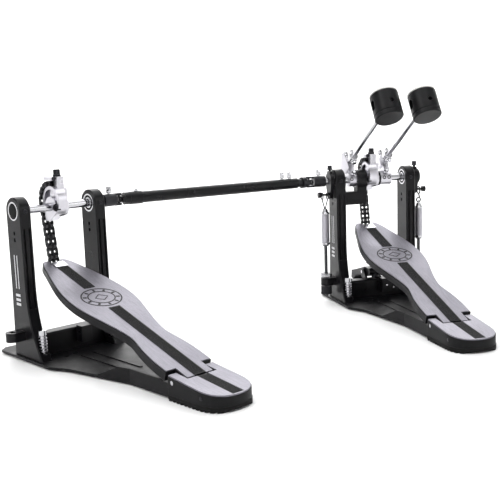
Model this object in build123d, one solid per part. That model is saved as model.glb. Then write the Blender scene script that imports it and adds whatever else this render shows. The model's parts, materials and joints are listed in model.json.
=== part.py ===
from build123d import *
import os
from math import asin, atan2, cos, degrees, radians, sin

# Double bass drum pedal, millimetres, +Z up, +Y towards the drum, origin on the floor
# under the heel hinge line of the primary pedal, in the middle of its footboard.

# ---- layout of the two pedals and the drive shaft ----
axle_y = 261.0            # axle centre, ahead of the origin
axle_z = 180.0            # axle centre, above the floor
slave_angle = 27.4        # the slave pedal toes outward by this much
slave_x = -340.9          # the slave pedal's own origin
slave_y = -88.7
primary_joint_x = -92.8   # universal joint on the primary pedal's left axle
slave_joint_x = 94.6      # universal joint on the slave pedal's axle

# ---- posts, axles and bearings ----
left_inner_x = -41.0
primary_right_x = 54.5    # inner face of the right post; the primary pedal is the wider one
slave_right_x = 48.0
post_thick = 14.5
post_half_depth = 16.4
left_outer_x = left_inner_x - post_thick
right_outer_x = primary_right_x + post_thick
axle_r = 5.0
bearing_r = 11.0
bearing_width = 6.0
running_gap = 0.05
clamp_gap = 0.02
centre_bearing_x0 = -20.5 # the primary pedal's middle bearing, where its two axles meet
centre_bearing_x1 = -5.8
axle_split_x = -13.1
spur_inset = 5.5          # spur screws, outboard of the posts' inner faces
spur_y = 229.0

# ---- base plate ----
plate_bottom = 2.0
plate_top = 5.0
front_y = 318.0
base_mid_x = 3.5
base_overhang = 17.5      # the plate reaches this far past the posts' inner faces
channel_half_w = 28.0
channel_rear_y = 15.6
wall_top = 19.0
wall_rear_top = 17.4      # lower beside the heel, under the pressed footboard
wall_thick = 2.5

# ---- heel ----
heel_half_w = 30.5
heel_front_y = 14.3
heel_rear_y = -60.5
heel_height = 25.0        # top of the heel plate at y = 0
heel_slope = 0.129
hinge_y = 8.8
hinge_z = 19.4
hinge_pin_r = 2.5
tongue_slot_half_w = 19.6
sole_top = 6.0

# ---- footboard, in its own tilted plane: x across, y along, z out of the tread ----
tread_height = 24.6
tread_angle = 18.15
shoulder_y = 17.7
tongue_y = -1.8
tongue_half_w = 17.9
shoulder_half_w = 30.5
grip_half_w = 7.35
lower_grip = (tongue_y, 154.7)
upper_grip = (204.8, 265.2)
toe_y = 285.5
notch_y = 278.0
notch_half_w = 9.4
skin = 1.2
pan_thick = 2.0
rim_thick = 2.4
skirt_heel = 11.5
skirt_toe = 8.0

# ---- roller chain and cam ----
pitch = 6.35
plate_h = 5.8
chain_r = 22.0            # centre line of the chain on the cam
cam_rise = 6.6            # the cam circle's centre lies above the axle
chain_lean = 9.5          # the hanging run leans this much towards the heel
drop_links = 12
wrap_links = 6
roller_r = 1.65
chain_pin_r = 1.1
cam_track_r = 18.6
cam_left_x = -4.5
cam_right_x = 7.5
cam_hub_r = 12.5
cam_block_x0 = -1.2
cam_block_x1 = 12.9
cam_block_rear_y = 249.5

# ---- beaters ----
left_beater_x = -25.0
right_beater_x = 30.0
beater_lean = 58.5        # rods lean back from vertical by this much at rest
rod_offset = 25.2         # rod centre line from the axle
rod_r = 3.2
rod_front = 14.0
head_distance = 157.5
head_r = 19.3
head_body_l = 36.0
felt_l = 3.6
rod_in_head = 0.5         # the rod enters the head behind its middle by this much

# ---- springs ----
left_spring_offset = 12.5   # spring centre line, outboard of the post's outer face
right_spring_offset = 13.2
rocker_gap = 1.6
left_rocker_thick = 5.0
right_rocker_thick = 6.2
spring_pin_drop = 20.0
spring_pin_r = 1.6
spring_r = 5.8
spring_bottom = 90.0
spring_top = 132.0
lug_bottom = 26.5
lug_top = 37.5
nut_gap = 1.3
barrel_r = 2.9            # cross barrel on the spring rod, on which it rocks in the lug

eye_r = 3.4               # the spring hook's eyes leave room around the spring pin
eye_slot = 1.6
toe_pin_r = 1.2
toe_eye_r = 2.95          # the toe clamp's eyes leave room around the chain's last pin
toe_eye_shift = (1.07, -0.87)

cam_y = axle_y
cam_z = axle_z + cam_rise
half_link = degrees(asin(pitch / 2 / chain_r))


# ---------------------------------------------------------------- helpers
def side_plate(sketch, x0, x1):
    """A sketch drawn as (y, z) and extruded across the pedal from x0 to x1."""
    return extrude(Plane.YZ.offset(x0) * sketch, x1 - x0)


def flat_plate(sketch, z0, z1):
    return extrude(Pos(0, 0, z0) * sketch, z1 - z0)


def outline(points):
    return make_face(Polyline(*points, close=True))


def block(x0, x1, y0, y1, z0, z1):
    centre = Pos((x0 + x1) / 2, (y0 + y1) / 2, (z0 + z1) / 2)
    return centre * Box(x1 - x0, y1 - y0, z1 - z0)


def disc(y, z, r):
    return Pos(y, z) * Circle(r)


def across(y, z, r, x0, x1):
    """A round bar along X."""
    return side_plate(disc(y, z, r), x0, x1)


def upright(x, y, r, z0, z1):
    return Pos(x, y, (z0 + z1) / 2) * Cylinder(r, z1 - z0)


def strap(a, b, ra, rb):
    """Two discs joined by their tangents, drawn as (y, z)."""
    return make_hull((Pos(*a) * Circle(ra)).edges() + (Pos(*b) * Circle(rb)).edges())


def polar(r, angle):
    return r * cos(radians(angle)), r * sin(radians(angle))


def bar(a, b, r):
    """A round bar between two points."""
    direction = Vector(*b) - Vector(*a)
    return extrude(Plane(a, z_dir=direction) * Circle(r), direction.length)


# ---------------------------------------------------------------- base and heel
def base_outline(right_x):
    middle = (left_inner_x + right_x) / 2
    half_w = right_x - middle + base_overhang
    half = [(0, front_y), (half_w - 9, front_y), (half_w, front_y - 8), (half_w, 200),
            (50, 176), (39.5, 131), (channel_half_w, 84), (channel_half_w, -4)]
    shift = [middle * min(1, max(0, (y - 84) / 116)) for x, y in half]
    right = [(dx + x, y) for dx, (x, y) in zip(shift, half)]
    left = [(dx - x, y) for dx, (x, y) in zip(shift, half)]
    return outline(right + left[:0:-1])


def base_plate(right_x):
    plate = flat_plate(base_outline(right_x), plate_bottom, plate_top)
    walls = []
    rise = outline([(channel_rear_y, plate_top), (channel_rear_y, wall_rear_top), (26, wall_rear_top),
                    (34, wall_top), (100, wall_top), (132, plate_top)])
    for side in (-1, 1):
        outer = side * channel_half_w
        inner = side * (channel_half_w - wall_thick)
        walls.append(side_plate(rise, min(outer, inner), max(outer, inner)) & block(-40, 40, 0, 84, 0, 30))
        flare = outline([(outer, 84), (side * 39.5 + 1.4, 131), (side * 37 + 1.4, 131), (inner, 84)])
        walls.append(flat_plate(flare, plate_top, wall_top) & side_plate(rise, -60, 60))
    plate = plate.fuse(*walls)
    for side in (-1, 1):
        rib = Pos(base_mid_x + side * 9, 165, plate_top) * Box(5, 96, 2.4)
        plate += fillet(rib.edges().filter_by(Axis.Z), 2.4)
    for x, y in ((-20, 222), (-6, 226), (base_mid_x, 290)):
        plate -= flat_plate(Pos(x, y) * SlotOverall(7, 3.6), 0, 10)
    for x, y in spur_places(right_x):
        plate -= upright(x, y, 4.4, 0, 10)
    return plate


def heel_outline(half_w, rear_y, front):
    edge = Spline((half_w, -28), (half_w - 6.2, rear_y + 9.5), (0, rear_y),
                  tangents=((0, -1), (-1, 0)))
    right = Polyline((half_w, front), (half_w, -28))
    return make_face(Curve() + [right, edge, mirror(edge, Plane.YZ), mirror(right, Plane.YZ),
                                Line((-half_w, front), (half_w, front))])


def under_heel_top(lower):
    """Everything under the sloping heel surface, lowered by the given depth."""
    drop = heel_height - lower
    slab = outline([(-80, 0), (40, 0), (40, drop + 40 * heel_slope), (-80, drop - 80 * heel_slope)])
    return side_plate(slab, -50, 50)


def heel_block():
    body = flat_plate(heel_outline(heel_half_w, heel_rear_y, heel_front_y), sole_top, 40)
    body &= under_heel_top(1.5)
    body -= block(-tongue_slot_half_w, tongue_slot_half_w, -4.2, 40, 8.5, 40)
    return body - across(hinge_y, hinge_z, hinge_pin_r + 0.02, -40, 40)


def heel_plate():
    plate = flat_plate(heel_outline(heel_half_w - 0.6, heel_rear_y + 0.6, heel_front_y - 0.2), 10, 40)
    plate &= under_heel_top(0)
    plate -= under_heel_top(1.5)
    plate -= block(-tongue_slot_half_w, tongue_slot_half_w, -4.2, 40, 8.5, 40)
    groove = block(-grip_half_w, grip_half_w, -58, -4, 0, 40)
    return plate - (groove - under_heel_top(0.6))


def floor_pads(with_hoop_rest):
    sole = flat_plate(heel_outline(heel_half_w + 0.4, heel_rear_y - 0.4, heel_front_y + 0.6), 2, sole_top)
    sole -= block(-channel_half_w, channel_half_w, -4, 30, plate_bottom, 20)
    foot = flat_plate(heel_outline(heel_half_w + 0.4, heel_rear_y - 0.4, heel_front_y + 0.6), 0, plate_bottom)
    for i in range(-9, 3):
        sole += foot & block(-40, 40, 6 * i - 1.6, 6 * i + 1.6, 0, plate_bottom)
    pads = [sole]
    for side in (-1, 1):
        pads.append(block(base_mid_x + side * 44 - 9, base_mid_x + side * 44 + 9, 242, 308, 0, plate_bottom))
    if with_hoop_rest:
        pads.append(block(base_mid_x - 26, base_mid_x + 26, 297, 316, plate_top, 7))
    return Compound(children=pads)


def spur_places(right_x):
    return (left_inner_x - spur_inset, spur_y), (right_x + spur_inset, spur_y)


def spring_line(outer_x):
    return outer_x - left_spring_offset if outer_x < 0 else outer_x + right_spring_offset


# ---------------------------------------------------------------- posts
def post(outer_x, inner_x):
    """One cast post: bearing eye, fluted rear face, flared foot, spring lug on the outer side."""
    side = -1 if outer_x < inner_x else 1
    x0, x1 = min(outer_x, inner_x), max(outer_x, inner_x)
    front = axle_y + post_half_depth
    rear = axle_y - post_half_depth
    rear_curve = Spline((rear, 92), (rear - 9, 38), (219, plate_top), tangents=((0, -1), (-0.6, -1)))
    shank = make_face(Curve() + [
        Line((rear, axle_z), (rear, 92)), rear_curve, Line((219, plate_top), (front + 3, plate_top)),
        Line((front + 3, plate_top), (front, 92)), Line((front, 92), (front, axle_z)),
        ThreePointArc((front, axle_z), (axle_y, axle_z + post_half_depth), (rear, axle_z))])
    body = side_plate(shank, x0, x1)
    body = chamfer(body.edges().filter_by(Axis.Z).group_by(Axis.Z)[-1], 1.2)
    middle = (x0 + x1) / 2
    for offset in (-3.4, 3.4):
        body -= block(middle + offset - 1.5, middle + offset + 1.5, rear - 2, rear + 2.2, 60, axle_z - 20)
    body -= across(axle_y, axle_z, bearing_r, x0 - 1, x1 + 1)
    for z in (axle_z - 26, axle_z - 34):
        body -= side_plate(Pos(axle_y, z) * SlotOverall(5.2, 3.6, rotation=90), x0 - 1, x1 + 1)
    spur_x = inner_x + side * spur_inset
    body -= upright(spur_x, spur_y, 6.4, 13, 100)
    body -= upright(spur_x, spur_y, 4.4, 0, 20)
    centre = spring_line(outer_x)
    tab = Pos((outer_x + centre) / 2, axle_y) * Rectangle(abs(centre - outer_x), 16)
    tab += Pos(centre, axle_y) * Circle(8)
    tab -= Pos(centre, axle_y) * SlotOverall(10.4, 6.0, rotation=90)
    return body + flat_plate(tab, lug_bottom, lug_top)


def bearing(x0, width):
    """Outer race, shield and inner race of a ball bearing, turned as one ring."""
    ring = across(axle_y, axle_z, bearing_r, x0, x0 + width)
    ring -= across(axle_y, axle_z, axle_r + running_gap, x0 - 1, x0 + width + 1)
    for face in (x0, x0 + width - 0.5):
        ring -= (across(axle_y, axle_z, 9.4, face, face + 0.5) - across(axle_y, axle_z, 6.6, face, face + 0.5))
    return ring


def post_bearings(right_x):
    places = [left_outer_x, left_inner_x - bearing_width, right_x, right_x + post_thick - bearing_width]
    return [bearing(x, bearing_width) for x in places]


def cross_bar(right_x, with_jaw_ears):
    bar_body = block(left_inner_x, right_x, 244, 262, plate_top, 32)
    bar_body = fillet(bar_body.edges().filter_by(Axis.X).group_by(Axis.Z)[-1], 2.5)
    stop = block(9, 23, 232, 244, 14, 34)
    stop -= across(238, 26, 2.4, 0, 30)
    bar_body += stop
    if with_jaw_ears:
        ear = strap((jaw_pin_y, jaw_pin_z), (256, 30), 6.0, 6.0)
        for x in (jaw_x0 - 3.4, jaw_x1 + 0.4):
            bar_body += side_plate(ear, x, x + 3)
        bar_body -= across(jaw_pin_y, jaw_pin_z, jaw_pin_r + 0.02, -30, 40)
    return bar_body


def heel_pin():
    return across(hinge_y, hinge_z, hinge_pin_r, -heel_half_w + 0.4, heel_half_w - 0.4)


# ---------------------------------------------------------------- hoop clamp
jaw_pin_y = 264.0
jaw_pin_z = 40.5
jaw_pin_r = 2.5
jaw_x0 = base_mid_x - 9.5
jaw_x1 = base_mid_x + 9.5
clamp_screw_y = 249.0
clamp_screw_r = 4.0


def hoop_jaw():
    head = strap((jaw_pin_y, jaw_pin_z), (clamp_screw_y, 43), 7.6, 5.0)
    nose = outline([(264, 48), (296, 39), (313, 35), (314.5, 23), (306, 22.5), (295, 30), (272, 35), (264, 34)])
    body = side_plate(head + nose, jaw_x0, jaw_x1)
    pad = block(jaw_x0 + 1, jaw_x1 - 1, 305.5, 314, 21, 23)
    body = body.fuse(pad)
    body -= across(jaw_pin_y, jaw_pin_z, jaw_pin_r + running_gap, jaw_x0 - 1, jaw_x1 + 1)
    return body - upright(base_mid_x, clamp_screw_y, clamp_screw_r + running_gap, 30, 60)


def clamp_screw():
    stem = upright(base_mid_x, clamp_screw_y, clamp_screw_r, 33.2, 54)
    wings = Pos(base_mid_x, clamp_screw_y, 54) * Box(24, 4.5, 9, align=(Align.CENTER, Align.CENTER, Align.MIN))
    wings = fillet(wings.edges().filter_by(Axis.Y), 3.5)
    return stem + upright(base_mid_x, clamp_screw_y, 6.5, 49.5, 57) + wings


# ---------------------------------------------------------------- footboard
def on_tread():
    return Pos(0, 0, tread_height) * Rot(tread_angle, 0, 0)


def tread_point(y, z):
    """(along, out) in the tread's plane for a point at (y, z)."""
    c, s = cos(radians(tread_angle)), sin(radians(tread_angle))
    return y * c + (z - tread_height) * s, (z - tread_height) * c - y * s


def board_face(inset, toe, notch, notch_w):
    """The footboard's outline: toe fork, wide ball, waist, shoulders and heel tongue."""
    flank = Spline((13.5 - inset, toe - inset), (24.6 - inset, 262), (38.4 - inset, 210), (40.4 - inset, 168),
                   (32.2 - inset, 132), (23.7 - inset, 90), (shoulder_half_w - inset, 38),
                   tangents=((0.75, -0.6), (0.05, -1)))
    ends = [(shoulder_half_w - inset, 38), (shoulder_half_w - inset, shoulder_y + inset),
            (tongue_half_w - inset, shoulder_y + inset), (tongue_half_w - inset, tongue_y + inset)]
    tail = Polyline(*ends)
    fork = Polyline((13.5 - inset, toe - inset), (notch_w, toe - inset), (notch_w, notch))
    half = [flank, tail, fork]
    closing = [Line((tongue_half_w - inset, tongue_y + inset), (inset - tongue_half_w, tongue_y + inset)),
               Line((notch_w, notch), (-notch_w, notch))]
    return make_face(Curve() + half + [mirror(edge, Plane.YZ) for edge in half] + closing)


def footboard():
    solid = flat_plate(board_face(0, toe_y, upper_grip[1], notch_half_w), -20, -skin)
    taper = outline([(-10, -skirt_heel), (toe_y + 10, -skirt_toe), (toe_y + 10, -30), (-10, -30)])
    solid -= side_plate(taper, -60, 60)
    hollow = flat_plate(board_face(rim_thick, toe_y, upper_grip[1], notch_half_w), -30, -skin - pan_thick)
    solid -= hollow & block(-60, 60, 27, upper_grip[1] - 8, -40, 0)
    pin_u, pin_n = tread_point(hinge_y, hinge_z)
    solid -= across(pin_u, pin_n, 40, -60, 60) - across(pin_u, pin_n, 6.4, -60, 60) - block(
        -60, 60, shoulder_y, 80, -60, 20) - block(-60, 60, -60, 30, -5, 20)
    solid -= block(tongue_half_w, 60, -30, shoulder_y, -60, 0)
    solid -= block(-60, -tongue_half_w, -30, shoulder_y, -60, 0)
    solid -= block(-60, 60, -30, 60, -60, 0) & side_plate(
        outline([(-30, -60), (60, -60), (60, -13), (26, -13), (pin_u + 6.4, pin_n - 6.4), (-30, pin_n - 6.4)]), -60, 60)
    return on_tread() * (solid - across(pin_u, pin_n, hinge_pin_r + running_gap, -60, 60))


def tread_plate():
    face = board_face(1.0, toe_y, upper_grip[1], 8.5)
    for y0, y1 in (lower_grip, upper_grip):
        face -= Pos(0, (y0 + y1) / 2) * Rectangle(2 * grip_half_w, y1 - y0)
    return on_tread() * flat_plate(face, -skin, 0)


def tread_grips():
    strips = []
    for y0, y1 in ((lower_grip[0] + 1, lower_grip[1]), upper_grip):
        strips.append(on_tread() * block(-grip_half_w, grip_half_w, y0, y1, -skin, 0.6))
    return Compound(children=strips)


def toe_clamp():
    y, z = drop_pins()[-1]
    eye_u, eye_n = tread_point(y + toe_eye_shift[0], z + toe_eye_shift[1])
    top = block(-8.4, 8.4, upper_grip[1], notch_y, -skin, 1.0)
    ears = strap((eye_u, eye_n), (notch_y - 6, -6.0), toe_eye_r + 1.1, 4.0)
    sides = side_plate(ears, -notch_half_w, -7.8) + side_plate(ears, 7.8, notch_half_w)
    bridge = block(-notch_half_w, notch_half_w, upper_grip[1], notch_y - 6, -9.0, -skin)
    body = (top + sides + bridge) - across(eye_u, eye_n, toe_eye_r, -20, 20)
    return on_tread() * body


# ---------------------------------------------------------------- chain
def wrap_pins():
    return [(cam_y + polar(chain_r, 2 * half_link * i - chain_lean)[0],
             cam_z + polar(chain_r, 2 * half_link * i - chain_lean)[1]) for i in range(wrap_links + 1)]


def drop_pins():
    y, z = wrap_pins()[0]
    return [(y - i * pitch * sin(radians(chain_lean)), z - i * pitch * cos(radians(chain_lean)))
            for i in range(drop_links + 1)]


def outer_link(a, b):
    """Three side plates of a duplex chain on two pins."""
    shape = strap(a, b, plate_h / 2, plate_h / 2)
    plates = [side_plate(shape, -6.4, -5.65), side_plate(shape, -0.7, 0.7), side_plate(shape, 5.65, 6.4)]
    return plates[0].fuse(*plates[1:], *[across(*p, chain_pin_r, -7.1, 7.1) for p in (a, b)])


def inner_links(a, b):
    """The two roller links, one for each strand."""
    links = []
    for mid in (-3.2, 3.2):
        shape = strap(a, b, plate_h / 2, plate_h / 2)
        parts = [side_plate(shape, mid - 2.3, mid - 1.55), side_plate(shape, mid + 1.55, mid + 2.3)]
        parts += [across(*p, roller_r, mid - 1.6, mid + 1.6) for p in (a, b)]
        link = parts[0].fuse(*parts[1:])
        for p in (a, b):
            link -= across(*p, chain_pin_r + running_gap, mid - 4, mid + 4)
        links.append(link)
    return links


def chain_drop():
    pins = drop_pins()
    links = []
    for i in range(0, drop_links, 2):
        links += inner_links(pins[i], pins[i + 1])
        a, b = pins[i + 1], pins[i + 2]
        links.append(outer_link(a, b))
    links[-1] += across(*pins[-1], toe_pin_r, -9.0, 9.0)
    return Compound(children=links)


def chain_wrap():
    pins = wrap_pins()
    links = []
    for i in range(0, wrap_links, 2):
        links.append(outer_link(pins[i + 1], pins[i]))
        links += inner_links(pins[i + 1], pins[i + 2])
    return Compound(children=links)


# ---------------------------------------------------------------- cam and axles
def cam():
    """The chain wheel with its clamp block behind, and the neck and cap that hold the chain's end."""
    track = disc(cam_y, cam_z, cam_track_r)
    chin = outline([(261, 173), (276, 173), (275.4, 162.5), (266, 162.5), (255, 169)])
    inside = disc(cam_y, cam_z, 14.6)
    wheel = side_plate((track + chin) - inside, cam_left_x, cam_right_x)
    wheel += side_plate(inside, 3.5, cam_right_x)
    wheel += across(axle_y, axle_z, cam_hub_r, cam_left_x - 0.5, cam_block_x1)
    clamp = block(cam_block_x0, cam_block_x1, cam_block_rear_y, 268, axle_z - 9, axle_z + 23.5)
    clamp = fillet(clamp.edges().filter_by(Axis.X), 2.5)
    clamp = fillet(clamp.edges().filter_by(Axis.Z).group_by(Axis.Y)[0], 2.0)
    neck = block(-0.6, 8.7, cam_block_rear_y + 0.5, 257.5, axle_z + 20, axle_z + 36.3)
    cap = block(-8, 8.7, 252, 270, axle_z + 32.2, axle_z + 36.3)
    cap = fillet(cap.edges().filter_by(Axis.Z), 2.0)
    body = wheel.fuse(clamp, neck, cap)
    return body - across(axle_y, axle_z, axle_r + clamp_gap, -20, 20)


def coupling(joint_x, side, bend):
    """Clamp sleeve, fork and cross of a universal joint; side points from the sleeve to the joint."""
    start, root = joint_x - side * 24.5, joint_x - side * 7.2
    x0, x1 = min(start, root), max(start, root)
    sleeve = across(axle_y, axle_z, 8.0, x0, x1)
    sleeve -= across(axle_y, axle_z, axle_r + clamp_gap, *sorted((start - side, joint_x - side * 9.5)))
    ear = Pos(joint_x, axle_y) * Circle(3.7)
    ear += Pos(joint_x - side * 4, axle_y) * Rectangle(8, 7.4)
    for z0 in (-7.8, 5.0):
        sleeve += flat_plate(ear, axle_z + z0, axle_z + z0 + 2.8)
    sleeve -= upright(joint_x, axle_y, 1.62, axle_z - 10, axle_z + 10)
    cross = Rot(0, 0, bend) * (Box(6.4, 6.4, 7.6) + Rot(90, 0, 0) * Cylinder(1.2, 12)) + Cylinder(1.6, 16)
    return Compound(children=[sleeve, Pos(joint_x, axle_y, axle_z) * cross])


def hub(x, ring_x0, ring_x1):
    """Beater hub: a clamp ring on the axle with an arm to the split block that grips the rod."""
    arm_y, arm_z = polar(rod_offset, beater_lean)
    ring = across(axle_y, axle_z, 10.5, ring_x0, ring_x1)
    ring += side_plate(strap((axle_y, axle_z), (axle_y + arm_y, axle_z + arm_z), 8.0, 7.0), x - 4.2, x + 4.2)
    grip = Pos(x, axle_y + arm_y, axle_z + arm_z) * Rot(beater_lean, 0, 0) * Box(13, 15, 13)
    ring += fillet(grip.edges(), 1.6)
    ring -= across(axle_y, axle_z, axle_r + clamp_gap, x - 20, x + 20)
    return ring - rod_bar(x, rod_r + clamp_gap, -40, 60)


def rod_place(x, along, out=0.0):
    """A point beside the rod: along it towards the head, and out towards the drum."""
    ay, az = polar(rod_offset + out, beater_lean)
    by, bz = polar(along, beater_lean + 90)
    return x, axle_y + ay + by, axle_z + az + bz


def rod_bar(x, r, start, end):
    return bar(rod_place(x, start), rod_place(x, end), r)


def beater_rod(x):
    return rod_bar(x, rod_r, -rod_front, head_distance + head_r - 6)


def on_head(x, out):
    """The head's own frame: +Z faces the drum, the origin lies in front of the rod by the given distance."""
    origin = rod_place(x, head_distance, out)
    tip = rod_place(x, head_distance, out + 1)
    return Plane(origin, x_dir=(1, 0, 0), z_dir=Vector(*tip) - Vector(*origin)).location


def turned(points):
    """A solid of revolution about Z from (radius, height) points."""
    profile = make_face(Polyline(*[(x, 0, z) for x, z in points], close=True))
    return revolve(profile, Axis.Z)


def beater_head(x):
    r, h = head_r, head_body_l
    body = turned([(0, 0), (r - 1.5, 0), (r, 1.5), (r, 5), (r - 0.9, 5.4), (r - 0.9, 6.6), (r, 7),
                   (r, h - 1.5), (r - 1.5, h), (0, h)])
    body = on_head(x, rod_in_head - h / 2) * body
    body += bar(rod_place(x, head_distance - r - 3), rod_place(x, head_distance - r + 6), 5.0)
    window = on_head(x, 3.0) * Pos(-r, 0, 0) * Rot(0, 90, 0)
    body -= window * extrude(SlotOverall(14.5, 9.5), 5.0, both=True)
    return body - rod_bar(x, rod_r + clamp_gap, 0, head_distance + r + 2)


def beater_felt(x):
    r = head_r - 0.3
    pad = turned([(0, 0), (r, 0), (r, felt_l - 1.4), (r - 1.4, felt_l), (0, felt_l)])
    return on_head(x, rod_in_head + head_body_l / 2) * pad


def rocker(outer_x):
    """Spring rocker: clamp ring on the axle's end with a lobe that carries the spring pin."""
    side = -1 if outer_x < 0 else 1
    near = outer_x + side * rocker_gap
    far = near + side * (left_rocker_thick if side < 0 else right_rocker_thick)
    x0, x1 = min(near, far), max(near, far)
    shape = strap((axle_y, axle_z), (axle_y, axle_z - spring_pin_drop), 12.0, 6.0)
    body = side_plate(shape, x0, x1) + block(x0 + 0.5, x1 - 0.5, axle_y - 6, axle_y + 6, axle_z, axle_z + 14)
    body -= across(axle_y, axle_z, axle_r + clamp_gap, x0 - 1, x1 + 1)
    end = spring_line(outer_x) + side * 5.6
    pin = across(axle_y, axle_z - spring_pin_drop, spring_pin_r, *sorted((far - side * 2, end)))
    knob = across(axle_y, axle_z - spring_pin_drop, 4.2, *sorted((end, end + side * 4.5)))
    return body + pin + knob


# ---------------------------------------------------------------- springs
def spring_hook(x):
    """Wire stirrup: an eye on each side of the spring's line and two legs down to the spring."""
    pin_z = axle_z - spring_pin_drop
    low = (x, axle_y, spring_top + 6)
    parts = [upright(x, axle_y, 2.6, spring_top - 4, spring_top + 8)]
    middle = Pos(axle_y, pin_z - 0.9 - eye_slot / 2)
    eye = middle * SlotCenterToCenter(eye_slot, 2 * eye_r + 2.4, rotation=90)
    eye -= middle * SlotCenterToCenter(eye_slot, 2 * eye_r, rotation=90)
    for offset in (-4.2, 4.2):
        parts.append(side_plate(eye, x + offset - 0.75, x + offset + 0.75))
        parts.append(bar((x + offset, axle_y, pin_z - 0.9 - eye_slot - eye_r - 0.8), low, 0.9))
    return parts[0].fuse(*parts[1:])


def spring_coil(x):
    tube = upright(x, axle_y, spring_r, spring_bottom, spring_top)
    return tube - upright(x, axle_y, spring_r - 1.6, spring_bottom - 1, spring_top + 1)


def spring_rod(x):
    """Threaded rod with a seat under the coil and a nut on each side of the lug."""
    rod = upright(x, axle_y, 2.4, 10, spring_bottom + 8)
    rod += across(axle_y, (lug_bottom + lug_top) / 2, barrel_r, x - 2.5, x + 2.5)
    seat = upright(x, axle_y, 4.6, spring_bottom - 5, spring_bottom)
    upper = upright(x, axle_y, 7.8, lug_top + nut_gap, lug_top + nut_gap + 5)
    lower = upright(x, axle_y, 7.4, lug_bottom - nut_gap - 12, lug_bottom - nut_gap)
    return rod + seat + upper + lower


# ---------------------------------------------------------------- drive shaft
tube_r = 6.0
sleeve_r = 7.5
sleeve_start = 21.0
tube_end = 200.0
sleeve_cavity_end = 262.0

slave_place = Pos(slave_x, slave_y, 0) * Rot(0, 0, slave_angle)
primary_joint = Vector(primary_joint_x, axle_y, axle_z)
slave_joint = (slave_place * Pos(slave_joint_x, axle_y, axle_z)).position
shaft_length = (slave_joint - primary_joint).length
shaft_angle = degrees(atan2(primary_joint.Y - slave_joint.Y, primary_joint.X - slave_joint.X))


def on_shaft():
    return Pos(primary_joint) * Rot(0, 0, 180 + shaft_angle)


def along(r, s0, s1):
    return Pos((s0 + s1) / 2, 0, 0) * Rot(0, 90, 0) * Cylinder(r, s1 - s0)


def shaft_fork(joint, root):
    """The fork's ears, one on each side of the joint."""
    length = abs(root - joint)
    ear = Pos(joint, 0) * Circle(3.7) + Pos((joint + root) / 2, 0) * Rectangle(length, 7.4)
    ears = [Rot(90, 0, 0) * flat_plate(ear, z0, z0 + 2.8) for z0 in (-7.8, 5.0)]
    return [e - Pos(joint, 0, 0) * Rot(90, 0, 0) * Cylinder(2.8, 20) for e in ears]


def shaft_tube():
    body = along(8.0, 6.5, 12.5) + along(tube_r, 12, tube_end)
    return on_shaft() * body.fuse(*shaft_fork(0, 7))


def shaft_sleeve():
    body = along(sleeve_r, sleeve_start, sleeve_cavity_end + 6)
    body -= along(tube_r + 0.1, sleeve_start - 1, sleeve_cavity_end)
    body += along(8.4, shaft_length - 31, shaft_length - 14) + along(8.0, shaft_length - 14, shaft_length - 6.5)
    body -= along(tube_r + 0.1, sleeve_start - 1, sleeve_cavity_end)
    return on_shaft() * body.fuse(*shaft_fork(shaft_length, shaft_length - 7))


# ---------------------------------------------------------------- spurs
def spurs(right_x):
    screws = []
    for x, y in spur_places(right_x):
        screw = upright(x, y, 3.4, 4, 35) + Pos(x, y, 2.6) * Cone(0.6, 3.4, 2.8)
        head = upright(x, y, 4.9, 34.5, 41)
        screws.append(screw + fillet(head.edges(), 1.0))
    return Compound(children=screws)


def spur_springs(right_x):
    coils = []
    for x, y in spur_places(right_x):
        coils.append(upright(x, y, 5.0, 13.1, 34.2) - upright(x, y, 3.8, 12, 36))
    return Compound(children=coils)


# ---------------------------------------------------------------- assembly
def pedal_pieces(name, primary):
    """The pieces both pedals have, in the pedal's own place."""
    right_x = primary_right_x if primary else slave_right_x
    bearings = post_bearings(right_x)
    axle_from = axle_split_x + 0.2 if primary else left_outer_x + 4
    axle_to = right_outer_x + rocker_gap + right_rocker_thick + 2.5 if primary else slave_joint_x - 10
    if primary:
        bearings.append(bearing(centre_bearing_x0, centre_bearing_x1 - centre_bearing_x0))
    pins = [heel_pin()]
    if primary:
        pins.append(across(jaw_pin_y, jaw_pin_z, jaw_pin_r, jaw_x0 - 4.5, jaw_x1 + 4.5))
    return {
        name + "_base_plate": base_plate(right_x),
        name + "_floor_pads": floor_pads(primary),
        name + "_posts": Compound(children=[post(left_outer_x, left_inner_x), post(right_x + post_thick, right_x)]),
        name + "_cross_bar": cross_bar(right_x, primary),
        name + "_bearings": Compound(children=bearings),
        name + "_heel_block": heel_block(),
        name + "_heel_plate": heel_plate(),
        name + "_pins": Compound(children=pins),
        name + "_spurs": spurs(right_x),
        name + "_spur_springs": spur_springs(right_x),
        name + "_footboard": footboard(),
        name + "_tread_plate": tread_plate(),
        name + "_tread_grips": tread_grips(),
        name + "_toe_clamp": toe_clamp(),
        name + "_chain_drop": chain_drop(),
        name + "_chain_wrap": chain_wrap(),
        name + "_axle": across(axle_y, axle_z, axle_r, axle_from, axle_to),
        name + "_cam": cam(),
    }


def centre_bearing_bracket():
    """The arm from the left post that carries the middle bearing."""
    arm = block(left_inner_x, centre_bearing_x1, 252, 266, 144, 163)
    riser = block(centre_bearing_x0, centre_bearing_x1, 252, 266, 150, 172)
    body = arm + riser + across(axle_y, axle_z, 14.0, centre_bearing_x0, centre_bearing_x1)
    return body - across(axle_y, axle_z, bearing_r + clamp_gap, -30, 0)


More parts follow.
